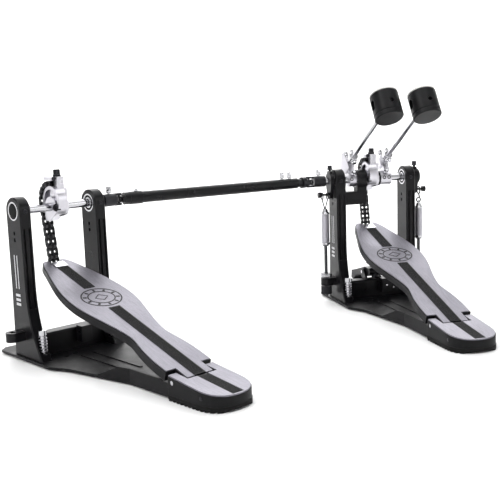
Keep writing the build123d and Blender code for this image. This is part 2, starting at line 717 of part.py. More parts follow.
def primary_only():
    pieces = {
        "centre_bearing_bracket": centre_bearing_bracket(),
        "hoop_jaw": hoop_jaw(),
        "clamp_screw": clamp_screw(),
        "left_beater_axle": across(axle_y, axle_z, axle_r, primary_joint_x + 10, axle_split_x - 0.2),
        "left_coupling": coupling(primary_joint_x, -1, shaft_angle),
        "shaft_tube": shaft_tube(),
        "shaft_sleeve": shaft_sleeve(),
    }
    rings = {"left": (-32.0, -20.9), "right": (17.0, 34.0)}
    for side, x, outer in (("left", left_beater_x, left_outer_x), ("right", right_beater_x, right_outer_x)):
        spring_x = spring_line(outer)
        pieces[side + "_beater_hub"] = hub(x, *rings[side])
        pieces[side + "_beater_rod"] = beater_rod(x)
        pieces[side + "_beater_head"] = beater_head(x)
        pieces[side + "_beater_felt"] = beater_felt(x)
        pieces[side + "_rocker"] = rocker(outer)
        pieces[side + "_spring_rod"] = spring_rod(spring_x)
        pieces[side + "_spring_coil"] = spring_coil(spring_x)
        pieces[side + "_spring_hook"] = spring_hook(spring_x)
    return pieces


def main():
    os.makedirs("parts", exist_ok=True)
    nodes = pedal_pieces("primary", True)
    nodes.update(primary_only())
    slave = pedal_pieces("slave", False)
    slave["slave_coupling"] = coupling(slave_joint_x, 1, shaft_angle - slave_angle)
    for node, shape in slave.items():
        nodes[node] = slave_place * shape
    for node, shape in nodes.items():
        export_step(shape, "parts/" + node + ".step")
    print(len(nodes), "nodes")


main()
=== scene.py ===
import json
from math import atan2, cos, pi, radians, sin

import bmesh
import bpy
from mathutils import Matrix, Vector

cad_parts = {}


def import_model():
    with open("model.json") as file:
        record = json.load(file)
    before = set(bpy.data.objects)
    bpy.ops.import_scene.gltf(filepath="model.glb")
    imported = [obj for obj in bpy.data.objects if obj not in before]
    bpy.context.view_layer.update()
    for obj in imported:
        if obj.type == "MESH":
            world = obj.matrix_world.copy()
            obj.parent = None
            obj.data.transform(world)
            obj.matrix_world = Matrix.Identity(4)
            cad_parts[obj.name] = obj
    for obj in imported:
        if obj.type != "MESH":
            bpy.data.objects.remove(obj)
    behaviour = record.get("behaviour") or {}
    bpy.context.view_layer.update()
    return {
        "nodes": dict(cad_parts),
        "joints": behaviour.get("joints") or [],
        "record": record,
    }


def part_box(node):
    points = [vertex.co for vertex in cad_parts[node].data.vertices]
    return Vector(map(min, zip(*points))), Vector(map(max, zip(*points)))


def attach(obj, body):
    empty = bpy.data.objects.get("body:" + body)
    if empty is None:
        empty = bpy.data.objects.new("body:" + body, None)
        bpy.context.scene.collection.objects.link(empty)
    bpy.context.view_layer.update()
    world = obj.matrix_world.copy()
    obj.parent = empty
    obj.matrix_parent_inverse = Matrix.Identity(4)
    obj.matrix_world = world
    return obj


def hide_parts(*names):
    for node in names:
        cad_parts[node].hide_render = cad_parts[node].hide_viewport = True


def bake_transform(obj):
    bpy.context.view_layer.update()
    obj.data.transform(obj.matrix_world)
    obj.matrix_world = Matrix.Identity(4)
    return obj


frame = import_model()
joints = {joint["name"]: joint for joint in frame["joints"]}
nodes = frame["nodes"]

MM = 0.001
UP = Vector((0, 0, 1))
IDENTITY = Matrix.Identity(4)


# ---------------------------------------------------------------- places, from the frame's joints
HINGE_Y = 8.8
HINGE_Z = 19.4
TREAD_HEIGHT = 24.6
TREAD_ANGLE = radians(18.15)
HEEL_TOP = 25.0
HEEL_SLOPE = 0.129
LEFT_OUTER = -55.5
LEFT_INNER = -41.0
RIGHT_INNER = {"primary": 54.5, "slave": 48.0}
POST_THICK = 14.5
POST_HALF_DEPTH = 16.4
BAR_Y = 253
BAR_TOP = 32
BAR_SCREW_INSET = 7
SPUR_Y = 229.0
SPUR_INSET = 5.5
LEFT_BEATER = -25.0
RIGHT_BEATER = 30.0
LEFT_ROCKER = -59.6
RIGHT_ROCKER = 75.0
LEFT_COUPLING = -77.5
SLAVE_COUPLING = 79.5


class Pedal:
    """One pedal's own frame: x across, y towards the drum, z up, in millimetres from its heel."""

    def __init__(self, name):
        self.name = name
        heel = joints[name + "_footboard_press"]
        axle = joints[name + "_axle_turn"]
        across = -Vector(heel["axis"])
        self.turn = Matrix.Rotation(atan2(across.y, across.x), 4, "Z")
        hinge = Vector(heel["pos_m"])
        floor_point = hinge - self.turn.to_3x3() @ Vector((0, HINGE_Y, HINGE_Z)) * MM
        self.matrix = Matrix.Translation(floor_point) @ self.turn @ Matrix.Scale(MM, 4)
        local = self.matrix.inverted() @ Vector(axle["pos_m"])
        self.axle_y = local.y
        self.axle_z = local.z
        self.right_inner = RIGHT_INNER[name]
        self.right_outer = self.right_inner + POST_THICK
        self.frame_body = name + "_frame"
        self.board_body = name + "_footboard_body"
        self.axle_body = name + "_axle_body"


primary = Pedal("primary")
slave = Pedal("slave")
pedals = (primary, slave)
AXLE = Vector((0, primary.axle_y, primary.axle_z))
shaft_from = Vector(joints["shaft_tube_turn"]["pos_m"])
shaft_way = Vector(joints["shaft_tube_turn"]["axis"]).normalized()
shaft_span = (Vector(joints["shaft_sleeve_turn"]["pos_m"]) - shaft_from).length / MM


# ---------------------------------------------------------------- materials
# The colour sockets of a Mix node: its factor, two colours and result.
MIX_FACTOR, MIX_A, MIX_B, MIX_RESULT = 0, 6, 7, 2
BEVEL_SAMPLES = 4
SOFT_EDGE = 0.0004
# Reach, gain and lift of the painted edge highlight that lightens coated colours along edges.
EDGE_HIGHLIGHT_REACH = 0.0006
EDGE_HIGHLIGHT_GAIN = 1.6
EDGE_HIGHLIGHT_LIFT = 0.012


def new_material(name):
    """A material with a single shader: returns it, its tree and the shader."""
    mat = bpy.data.materials.new(name)
    mat.use_nodes = True
    tree = mat.node_tree
    tree.nodes.clear()
    out = tree.nodes.new("ShaderNodeOutputMaterial")
    shader = tree.nodes.new("ShaderNodeBsdfPrincipled")
    tree.links.new(shader.outputs[0], out.inputs[0])
    return mat, tree, shader


def add_node(tree, kind, values, vector=None):
    """A node with fixed values on its named sockets, and its Vector socket linked."""
    node = tree.nodes.new(kind)
    for socket, value in values.items():
        node.inputs[socket].default_value = value
    if vector is not None:
        tree.links.new(vector, node.inputs["Vector"])
    return node


def coords(tree, scale=(1, 1, 1), turn=(0, 0, 0)):
    """Object coordinates, turned and then stretched."""
    where = tree.nodes.new("ShaderNodeTexCoord").outputs["Object"]
    spin = add_node(tree, "ShaderNodeMapping", {"Rotation": turn}, where)
    return add_node(tree, "ShaderNodeMapping", {"Scale": scale}, spin.outputs[0]).outputs[0]


def noise(tree, where, scale, detail=4, rough=0.55):
    values = {"Scale": scale, "Detail": detail, "Roughness": rough}
    return add_node(tree, "ShaderNodeTexNoise", values, where).outputs["Fac"]


def ramp(tree, value, low, high, a, b):
    """Maps low to high onto a to b."""
    values = {"From Min": low, "From Max": high, "To Min": a, "To Max": b}
    node = add_node(tree, "ShaderNodeMapRange", values)
    tree.links.new(value, node.inputs["Value"])
    return node.outputs[0]


def tint(tree, value, dark, light):
    """Mixes two colours by a value; the dark one may be another node's output."""
    node = tree.nodes.new("ShaderNodeMix")
    node.data_type = "RGBA"
    if isinstance(dark, tuple):
        node.inputs[MIX_A].default_value = (*dark, 1)
    else:
        tree.links.new(dark, node.inputs[MIX_A])
    node.inputs[MIX_B].default_value = (*light, 1)
    tree.links.new(value, node.inputs[MIX_FACTOR])
    return node.outputs[MIX_RESULT]


def bevel_normal(tree, radius):
    """The surface's normal, softly rounded over its edges."""
    node = add_node(tree, "ShaderNodeBevel", {"Radius": radius})
    node.samples = BEVEL_SAMPLES
    return node.outputs[0]


def bump(tree, shader, height, strength, distance, edge=SOFT_EDGE):
    """Surface relief on top of softly rounded edges."""
    node = add_node(tree, "ShaderNodeBump", {"Strength": strength, "Distance": distance})
    tree.links.new(height, node.inputs["Height"])
    if edge:
        tree.links.new(bevel_normal(tree, edge), node.inputs["Normal"])
    tree.links.new(node.outputs[0], shader.inputs["Normal"])


def edge_turn(tree):
    """How far the surface turns within a short reach: 1 on flats, less along edges."""
    dot = tree.nodes.new("ShaderNodeVectorMath")
    dot.operation = "DOT_PRODUCT"
    flat = tree.nodes.new("ShaderNodeNewGeometry")
    tree.links.new(bevel_normal(tree, EDGE_HIGHLIGHT_REACH), dot.inputs[0])
    tree.links.new(flat.outputs["Normal"], dot.inputs[1])
    return dot.outputs["Value"]


def coated(name, dark, light, rough, grain=900, relief=0.25, coat=0.0):
    """Powder coat, moulding or casting: fine grain, uneven gloss, and a painted highlight that
    lightens the base colour along edges.
    """
    mat, tree, shader = new_material(name)
    where = coords(tree)
    cloud = noise(tree, where, 38, 3)
    fine = noise(tree, where, grain, 2)
    # Painted edge highlight: the base colour turns lighter where the surface bends over an edge.
    painted_highlight = ramp(tree, edge_turn(tree), 0.999, 0.90, 0.0, 1.0)
    highlight_colour = [EDGE_HIGHLIGHT_GAIN * c + EDGE_HIGHLIGHT_LIFT for c in light]
    colour = tint(tree, painted_highlight, tint(tree, cloud, dark, light), highlight_colour)
    gloss = ramp(tree, cloud, 0.3, 0.7, rough - 0.05, rough + 0.07)
    tree.links.new(colour, shader.inputs["Base Color"])
    tree.links.new(gloss, shader.inputs["Roughness"])
    shader.inputs["Specular IOR Level"].default_value = 0.14
    shader.inputs["Coat Weight"].default_value = coat
    shader.inputs["Coat Roughness"].default_value = 0.25
    bump(tree, shader, fine, relief, 0.0003)
    return mat


def metal(name, dark, light, rough, grain=500, relief=0.06, edge=0.0003):
    """Plated or polished metal with faint scuffs and smudges."""
    mat, tree, shader = new_material(name)
    where = coords(tree)
    smudge = noise(tree, where, 45, 5, 0.65)
    fine = noise(tree, where, grain, 3)
    gloss = ramp(tree, smudge, 0.35, 0.7, rough, rough + 0.1)
    tree.links.new(tint(tree, smudge, dark, light), shader.inputs["Base Color"])
    tree.links.new(gloss, shader.inputs["Roughness"])
    shader.inputs["Metallic"].default_value = 1.0
    bump(tree, shader, fine, relief, 0.0002, edge)
    return mat


def brushed(name, turn, dark, light):
    """Brushed satin sheet: fine streaks along the tread, a soft speckle and a slow cloud."""
    mat, tree, shader = new_material(name)
    streaks = noise(tree, coords(tree, (900, 60, 60), (0, 0, -turn)), 1.0, 3, 0.7)
    speckle = noise(tree, coords(tree), 1400, 2)
    cloud = noise(tree, coords(tree), 14, 2)
    add = tree.nodes.new("ShaderNodeMath")
    add.operation = "ADD"
    tree.links.new(streaks, add.inputs[0])
    tree.links.new(speckle, add.inputs[1])
    grain = ramp(tree, add.outputs[0], 0.7, 1.3, 0.0, 1.0)
    tree.links.new(tint(tree, grain, dark, light), shader.inputs["Base Color"])
    tree.links.new(ramp(tree, cloud, 0.3, 0.7, 0.40, 0.50), shader.inputs["Roughness"])
    shader.inputs["Metallic"].default_value = 0.75
    bump(tree, shader, grain, 0.12, 0.0002)
    return mat


def felt_material():
    """Pale pressed felt with fibres and a soft sheen."""
    mat, tree, shader = new_material("felt")
    where = coords(tree)
    fibres = noise(tree, where, 650, 6, 0.75)
    cloud = noise(tree, where, 90, 3)
    colour = tint(tree, cloud, (0.78, 0.77, 0.74), (0.90, 0.89, 0.86))
    tree.links.new(colour, shader.inputs["Base Color"])
    shader.inputs["Roughness"].default_value = 0.95
    shader.inputs["Sheen Weight"].default_value = 0.5
    bump(tree, shader, fibres, 0.9, 0.0006, 0)
    return mat


# Each coating: dark and light colour, roughness, grain, relief and clear coat.
COATINGS = {
    "base_steel": ((0.0035, 0.0033, 0.0042), (0.007, 0.0067, 0.008), 0.40, 1100, 0.35),
    "post_cast": ((0.003, 0.0028, 0.0036), (0.006, 0.0057, 0.007), 0.32, 800, 0.22, 0.10),
    "heel_black": ((0.004, 0.004, 0.0045), (0.008, 0.008, 0.009), 0.46, 1300, 0.30),
    "rubber": ((0.005, 0.005, 0.005), (0.008, 0.008, 0.008), 0.70, 700, 0.45),
    "board_black": ((0.004, 0.004, 0.005), (0.008, 0.0077, 0.009), 0.40, 900, 0.25),
    "grip": ((0.004, 0.004, 0.0045), (0.011, 0.011, 0.012), 0.55, 1500, 0.8),
    "shaft_black": ((0.003, 0.003, 0.0035), (0.006, 0.006, 0.007), 0.30, 1200, 0.12, 0.15),
    "beater_black": ((0.004, 0.004, 0.0045), (0.007, 0.007, 0.008), 0.36, 1000, 0.15, 0.08),
}
# Each metal: dark and light colour, roughness, grain, relief and edge.
METALS = {
    "chrome": ((0.44, 0.44, 0.46), (0.62, 0.62, 0.64), 0.10),
    "cam_silver": ((0.52, 0.51, 0.55), (0.70, 0.69, 0.73), 0.26, 700, 0.12),
    "chain_black": ((0.016, 0.016, 0.018), (0.040, 0.040, 0.043), 0.34, 900, 0.10),
    "coupling_dark": ((0.022, 0.022, 0.024), (0.050, 0.050, 0.054), 0.34, 900, 0.10),
    "spring_steel": ((0.40, 0.39, 0.43), (0.54, 0.53, 0.57), 0.34, 800, 0.06, 0),
    "bearing_steel": ((0.55, 0.55, 0.57), (0.72, 0.72, 0.74), 0.20),
    "screw_black": ((0.018, 0.018, 0.020), (0.045, 0.045, 0.050), 0.30, 900, 0.10),
}
MATERIALS = {name: coated(name, *values) for name, values in COATINGS.items()}
MATERIALS.update({name: metal(name, *values) for name, values in METALS.items()})
MATERIALS["felt"] = felt_material()

TREAD_DARK = (0.165, 0.160, 0.185)
TREAD_LIGHT = (0.275, 0.266, 0.305)
TREADS = {}
for pedal in pedals:
    yaw = pedal.turn.to_euler().z
    TREADS[pedal.name] = brushed("tread_silver_" + pedal.name, yaw, TREAD_DARK, TREAD_LIGHT)

PRINT = coated("print_white", (0.50, 0.50, 0.52), (0.62, 0.62, 0.64), 0.5, 900, 0.05)
ROD = metal("threaded_rod", (0.05, 0.05, 0.055), (0.11, 0.11, 0.115), 0.30, 900, 0.15)

slot_of = {part["node"]: part["material_slot"] for part in frame["record"]["subparts"]}
for node, obj in nodes.items():
    slot = slot_of[node]
    mat = TREADS[node.split("_")[0]] if slot == "tread_silver" else MATERIALS[slot]
    if node.endswith("_spring_rod"):
        mat = ROD
    if node == "left_spring_hook":
        mat = MATERIALS["screw_black"]
    obj.data.materials.clear()
    obj.data.materials.append(mat)


# ---------------------------------------------------------------- mesh helpers, in millimetres
WELD = 1e-5
ROUND_TIP = 0.01


def finish_mesh(name, bm, matrix, slot, body, smooth=40, bevel=0.0, material=None):
    """Turns a bmesh into a piece in metres that rides on a body, if one is given."""
    bmesh.ops.remove_doubles(bm, verts=bm.verts, dist=WELD)
    bmesh.ops.recalc_face_normals(bm, faces=bm.faces)
    mesh = bpy.data.meshes.new(name)
    bm.to_mesh(mesh)
    bm.free()
    mesh.transform(matrix)
    for face in mesh.polygons:
        face.use_smooth = True
    mesh.set_sharp_from_angle(angle=radians(smooth))
    obj = bpy.data.objects.new(name, mesh)
    bpy.context.scene.collection.objects.link(obj)
    mesh.materials.append(material or MATERIALS[slot])
    if bevel:
        edge = obj.modifiers.new("edges", "BEVEL")
        edge.width = bevel * MM
        edge.segments = 2
        edge.angle_limit = radians(35)
        edge.harden_normals = True
    if body:
        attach(obj, body)
    return obj


def frame_to(origin, direction, roll=0.0):
    """A matrix whose +Z is the direction, at the origin."""
    turn = Vector(direction).to_track_quat("Z", "Y").to_matrix().to_4x4()
    return Matrix.Translation(origin) @ turn @ Matrix.Rotation(roll, 4, "Z")


def add_rings(bm, rings, matrix=IDENTITY, closed_loop=False):
    """Joins equal rings of points into a skin, capped at both ends unless it closes on itself."""
    rows = [[bm.verts.new(matrix @ Vector(p)) for p in ring] for ring in rings]
    pairs = list(zip(rows, rows[1:]))
    if closed_loop:
        pairs.append((rows[-1], rows[0]))
    for a, b in pairs:
        n = len(a)
        for i in range(n):
            j = (i + 1) % n
            bm.faces.new((a[i], a[j], b[j], b[i]))
    if not closed_loop:
        bm.faces.new(list(reversed(rows[0])))
        bm.faces.new(rows[-1])


def around_circle(n):
    """The angles of n even steps round a circle."""
    return [2 * pi * i / n for i in range(n)]


def circle(r, z, n):
    return [(r * cos(a), r * sin(a), z) for a in around_circle(n)]


def add_lathe(bm, profile, matrix, n=32):
    """A solid of revolution from (radius, height) points, closed at both ends."""
    add_rings(bm, [circle(max(r, ROUND_TIP), z, n) for r, z in profile], matrix)


def add_ring(bm, r_in, r_out, z0, z1, matrix, n=40):
    """A flat washer with rounded outer edges."""
    c = min(0.3, (z1 - z0) / 3)
    profile = [(r_in, z0), (r_out - c, z0), (r_out, z0 + c),
               (r_out, z1 - c), (r_out - c, z1), (r_in, z1)]
    add_rings(bm, [circle(r, z, n) for r, z in profile], matrix, closed_loop=True)


def rounded_square(half, corner, z, n=4):
    """A square's outline at a height, with n steps round each corner."""
    points = []
    for quarter in range(4):
        centre = radians(45 + 90 * quarter)
        cx = (half - corner) * (1 if cos(centre) > 0 else -1)
        cy = (half - corner) * (1 if sin(centre) > 0 else -1)
        for i in range(n + 1):
            a = radians(90 * quarter) + radians(90) * i / n
            points.append((cx + corner * cos(a), cy + corner * sin(a), z))
    return points


def add_key_bolt(bm, origin, direction, shank=3.0, head=6.0, size=1.0, roll=0.3):
    """A drum-key bolt: shank, washer collar and square head with a chamfered top."""
    matrix = frame_to(origin, direction, roll) @ Matrix.Scale(size, 4)
    shank_r, collar_r = 1.9, 3.9
    half, top_half, corner, chamfer = 2.5, 2.1, 0.5, 0.6
    add_lathe(bm, [(shank_r, -2), (shank_r, shank)], matrix, 16)
    collar = [(3.6, shank - 0.4), (collar_r, shank), (collar_r, shank + 1.2), (3.5, shank + 1.6)]
    add_lathe(bm, collar, matrix, 24)
    low = shank + 1.4
    rings = [rounded_square(half, corner, low),
             rounded_square(half, corner, low + head - chamfer),
             rounded_square(top_half, corner, low + head)]
    add_rings(bm, rings, matrix)


def add_prism(bm, outline, z0, z1, matrix=IDENTITY):
    """A straight prism over an outline of (x, y) points."""
    add_rings(bm, [[(x, y, z) for x, y in outline] for z in (z0, z1)], matrix)


def wire_ring(centre, side, other, r, around):
    """One round section of a wire, in the plane of two directions."""
    return [centre + (side * cos(a) + other * sin(a)) * r for a in around_circle(around)]


def add_helix(bm, x, y, z0, z1, r, wire, turns, per_turn=20, around=8):
    """A round-wire coil about a vertical line."""
    steps = int(turns * per_turn)
    rings = []
    for i in range(steps + 1):
        t = i / steps
        a = 2 * pi * turns * t
        z = z0 + wire + (z1 - z0 - 2 * wire) * t
        out = Vector((cos(a), sin(a), 0))
        along = Vector((-sin(a), cos(a), (z1 - z0) / (2 * pi * turns * r))).normalized()
        centre = Vector((x, y, z)) + out * r
        rings.append(wire_ring(centre, out, out.cross(along), wire, around))
    add_rings(bm, rings)


def add_tube(bm, points, r, around=10):
    """A round wire through points."""
    points = [Vector(p) for p in points]
    rings = []
    side = None
    for i, p in enumerate(points):
        along = (points[min(i + 1, len(points) - 1)] - points[max(i - 1, 0)]).normalized()
        if side is None:
            side = along.orthogonal().normalized()
        side = (side - along * side.dot(along)).normalized()
        rings.append(wire_ring(p, side, along.cross(side), r, around))
    add_rings(bm, rings)


def add_knurled(bm, x, y, r, z0, z1, ridges=32, matrix=IDENTITY):
    """A knurled ring about a line along z, chamfered at both ends."""
    ridge, chamfer, chamfer_scale = 0.45, 0.6, 0.93
    outline = []
    for i in range(ridges * 2):
        a = pi * i / ridges
        reach = r + (ridge if i % 2 else 0.0)
        outline.append((reach * cos(a), reach * sin(a)))
    rings = []
    for scale, z in ((chamfer_scale, z0), (1.0, z0 + chamfer),
                     (1.0, z1 - chamfer), (chamfer_scale, z1)):
        rings.append([(x + px * scale, y + py * scale, z) for px, py in outline])
    add_rings(bm, rings, matrix)


def add_pyramids(bm, y0, y1, half, z, pitch=1.55, height=0.35):
    """Rows of small blunt pyramids on a strip."""
    across = int(2 * half / pitch)
    rows = int((y1 - y0) / pitch)
    x_start = -across * pitch / 2
    y_start = (y0 + y1 - rows * pitch) / 2
    h = pitch / 2 * 0.92
    blunt = 0.3
    corners = ((-1, -1), (1, -1), (1, 1), (-1, 1))
    for i in range(across):
        for j in range(rows):
            cx = x_start + (i + 0.5) * pitch
            cy = y_start + (j + 0.5) * pitch
            base = [bm.verts.new((cx + dx * h, cy + dy * h, z)) for dx, dy in corners]
            top = [bm.verts.new((cx + dx * h * blunt, cy + dy * h * blunt, z + height))
                   for dx, dy in corners]
            for k in range(4):
                bm.faces.new((base[k], base[(k + 1) % 4], top[(k + 1) % 4], top[k]))
            bm.faces.new(top)
            bm.faces.new(list(reversed(base)))


def stroke(bm, points, width, z0, z1, closed=True):
    """A flat printed line with a constant width along a path of (x, y) points."""
    n = len(points)
    left = []
    right = []
    for i in range(n):
        before = Vector(points[i - 1]) if closed or i else Vector(points[0])
        here = Vector(points[i])
        after = Vector(points[(i + 1) % n]) if closed or i < n - 1 else Vector(points[-1])
        way = ((here - before).normalized() + (after - here).normalized()).normalized()
        normal = Vector((-way.y, way.x)) * (width / 2)
        left.append(here + normal)
        right.append(here - normal)
    rings = [[(a.x, a.y, z0), (a.x, a.y, z1), (b.x, b.y, z1), (b.x, b.y, z0)]
             for a, b in zip(left, right)]
    add_rings(bm, rings, closed_loop=closed)


def ellipse(rx, ry, middle, n=56):
    return [(rx * cos(a), middle + ry * sin(a)) for a in around_circle(n)]


# ---------------------------------------------------------------- details of each pedal
EMBLEM_Y = 180.0
EMBLEM_LUGS = 10
GRIP_HALF = 6.9
TREAD_GRIPS = ((0.4, 153.6), (206.0, 264.2))
TREAD_GRIP_Z = 0.58
HEEL_GRIP = (-57.5, -5.2)


def tread_matrix(pedal):
    """The tread's own plane: x across, y along, z out of the tread."""
    lift = Matrix.Translation((0, 0, TREAD_HEIGHT))
    return pedal.matrix @ lift @ Matrix.Rotation(TREAD_ANGLE, 4, "X")


def emblem(pedal):
    """A plain printed drum head: two rings, ten lugs between them and a small diamond."""
    bm = bmesh.new()
    low, high = -0.05, 0.15
    stroke(bm, ellipse(24.5, 20.5, EMBLEM_Y), 1.7, low, high)
    stroke(bm, ellipse(16.5, 13.5, EMBLEM_Y), 1.5, low, high)
    for i in range(EMBLEM_LUGS):
        a = 2 * pi * (i + 0.5) / EMBLEM_LUGS
        lug = [(17.8 * cos(a), EMBLEM_Y + 14.8 * sin(a)), (22.6 * cos(a), EMBLEM_Y + 18.7 * sin(a))]
        stroke(bm, lug, 2.8, low, high, closed=False)
    diamond = [(0, EMBLEM_Y - 6.5), (8.5, EMBLEM_Y), (0, EMBLEM_Y + 6.5), (-8.5, EMBLEM_Y)]
    stroke(bm, diamond, 1.6, low, high)
    finish_mesh(pedal.name + "_emblem", bm, tread_matrix(pedal), "board_black", pedal.board_body)


def post_mark(pedal):
    """A plain printed mark on the left post's outer side: two upright lines and three bars."""
    bm = bmesh.new()
    face = frame_to((LEFT_OUTER, 0, 0), (-1, 0, 0))
    turned = face.inverted()
    lines = [((y, 88), (y, 128), 1.6) for y in (259.5, 265.5)]
    lines += [((258, z), (268, z), 3.0) for z in (69, 74.5, 80)]
    for start, end, width in lines:
        a, b = (turned @ Vector((LEFT_OUTER, *point)) for point in (start, end))
        stroke(bm, [(a.x, a.y), (b.x, b.y)], width, -0.05, 0.08, closed=False)
    bm.transform(face)
    name = pedal.name + "_post_mark"
    finish_mesh(name, bm, pedal.matrix, "chrome", pedal.frame_body, material=PRINT)


def grips(pedal):
    """Pyramids on the tread's two strips, and a strip with pyramids on the heel plate."""
    bm = bmesh.new()
    for y0, y1 in TREAD_GRIPS:
        add_pyramids(bm, y0, y1, GRIP_HALF, TREAD_GRIP_Z)
    name = pedal.name + "_grip_knurl"
    finish_mesh(name, bm, tread_matrix(pedal), "grip", pedal.board_body, smooth=20)
    bm = bmesh.new()
    lift = Matrix.Translation((0, 0, HEEL_TOP - 0.65))
    slope = lift @ Matrix.Rotation(atan2(HEEL_SLOPE, 1), 4, "X")
    add_pyramids(bm, *HEEL_GRIP, GRIP_HALF, 0.2)
    corners = [(-7.2, -57.9), (7.2, -57.9), (7.2, -4.6), (-7.2, -4.6)]
    add_prism(bm, corners, -0.2, 0.22)
    name = pedal.name + "_heel_grip"
    finish_mesh(name, bm, pedal.matrix @ slope, "grip", pedal.frame_body, smooth=20)


def bearing_trim(pedal):
    """Dark seals in the bearings' grooves and a dust cap where no axle comes through."""
    faces = [(LEFT_OUTER, -1), (LEFT_INNER, 1), (pedal.right_inner, -1), (pedal.right_outer, 1)]
    bm = bmesh.new()
    for x, side in faces:
        matrix = frame_to((x, pedal.axle_y, pedal.axle_z), (side, 0, 0))
        add_ring(bm, 6.65, 9.35, -0.45, -0.12, matrix)
    if pedal is slave:
        matrix = frame_to((LEFT_OUTER, pedal.axle_y, pedal.axle_z), (-1, 0, 0))
        cap = [(9.3, -0.6), (9.3, 0.0), (8.8, 0.25), (4.0, 0.55), (0, 0.6)]
        add_lathe(bm, cap, matrix, 40)
    finish_mesh(pedal.name + "_bearing_seals", bm, pedal.matrix, "rubber", pedal.frame_body)


def cam_bolts(pedal):
    """Square-headed bolts on the chain cap and the axle, a small screw, and the block's foot."""
    y, z = pedal.axle_y, pedal.axle_z
    rear = (0, -1, 0)
    bm = bmesh.new()
    add_key_bolt(bm, (4.4, y - 3.2, z + 36.2), UP, 0.4, 5.0, 1.25, 0.15)
    add_key_bolt(bm, (-3.6, y - 8.8, z + 34.2), rear, 0.0, 1.0, 0.72, 0.0)
    add_key_bolt(bm, (-4.0, y - 11.6, z), rear, -0.6, 3.4, 1.25, 0.0)
    foot = [(4.4, 0), (4.4, 1.6), (3.8, 2.2), (0, 2.4)]
    add_lathe(bm, foot, frame_to((6, y - 5, z - 9), (0, 0, -1)), 24)
    name = pedal.name + "_cam_bolts"
    finish_mesh(name, bm, pedal.matrix, "screw_black", pedal.axle_body, smooth=35)


def spur_dress(pedal):
    """Round-wire springs under the spur screws' heads."""
    low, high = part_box(pedal.name + "_spur_springs")
    bm = bmesh.new()
    for x in (LEFT_INNER - SPUR_INSET, pedal.right_inner + SPUR_INSET):
        add_helix(bm, x, SPUR_Y, low.z / MM, high.z / MM, 4.35, 0.62, 5.5)
    name = pedal.name + "_spur_coils"
    coil = finish_mesh(name, bm, pedal.matrix, "spring_steel", None, smooth=60)
    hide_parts(pedal.name + "_spur_springs")
    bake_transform(coil)


def base_details(pedal):
    """Screw heads on the posts' bar, on the heel's sides and on the posts' rear faces."""
    bm = bmesh.new()
    bar_head = [(3.6, -0.2), (3.6, 1.4), (2.9, 2.2), (0, 2.4)]
    for x in (LEFT_INNER + BAR_SCREW_INSET, pedal.right_inner - BAR_SCREW_INSET):
        add_lathe(bm, bar_head, frame_to((x, BAR_Y, BAR_TOP), UP), 28)
    heel_head = [(2.2, -0.5), (2.2, -0.1), (1.6, 0.1), (0, 0.15)]
    for side in (-1, 1):
        add_lathe(bm, heel_head, frame_to((side * 30.3, -36, 13), (side, 0, 0)), 20)
    post_head = [(2.6, -0.3), (2.6, 0.5), (2.1, 0.9), (1.3, 0.9), (1.3, 0.2), (0, 0.2)]
    for x in (LEFT_INNER - POST_THICK / 2, pedal.right_inner + POST_THICK / 2):
        place = (x, pedal.axle_y - POST_HALF_DEPTH, pedal.axle_z)
        add_lathe(bm, post_head, frame_to(place, (0, -1, 0)), 24)
    name = pedal.name + "_frame_screws"
    finish_mesh(name, bm, pedal.matrix, "screw_black", pedal.frame_body)


def bar_screws():
    """Bright screw heads on the primary bar's rear face and beside its stop block."""
    bm = bmesh.new()
    head = [(1.5, -1.0), (1.5, 0.9), (1.1, 1.3), (0, 1.4)]
    for place in ((26.3, 243.6, 19.0), (32.0, 243.6, 17.2), (16.0, 231.8, 24.0)):
        add_lathe(bm, head, frame_to(place, (0, -1, 0)), 20)
    finish_mesh("primary_bar_screws", bm, primary.matrix, "chrome", primary.frame_body)


bar_screws()
for pedal in pedals:
    emblem(pedal)
    post_mark(pedal)
    grips(pedal)
    bearing_trim(pedal)
    cam_bolts(pedal)
    spur_dress(pedal)
    base_details(pedal)


# ---------------------------------------------------------------- beaters, springs and shaft
ROD_LEAN = radians(58.5)
ROD_OFFSET = 25.2
LOCK_REACH = 21
HUB_RING_SHIFT = {"left": -1.5, "right": -5.0}
SET_SCREW_SHIFTS = {"left": (-3.0,), "right": (-3.0, 4.5)}
SET_SCREW_ANGLE = radians(8)
PIN_DROP = 20.0
COIL_WIRE = 0.6
COIL_GAP = 1.005
TENSION_NUT_Z = (13.25, 25.15)
LOCK_NUT_Z = (38.85, 43.75)
SPRING_WASHER_Z = (86.8, 90.4)
SLEEVE_BOLTS = (33.0, 45.5)
SLEEVE_SEAT = 7.3
COUPLING_SEAT = 7.8
COLLAR_SEAT = 8.2
COLLAR_BOLT_BACK = 24


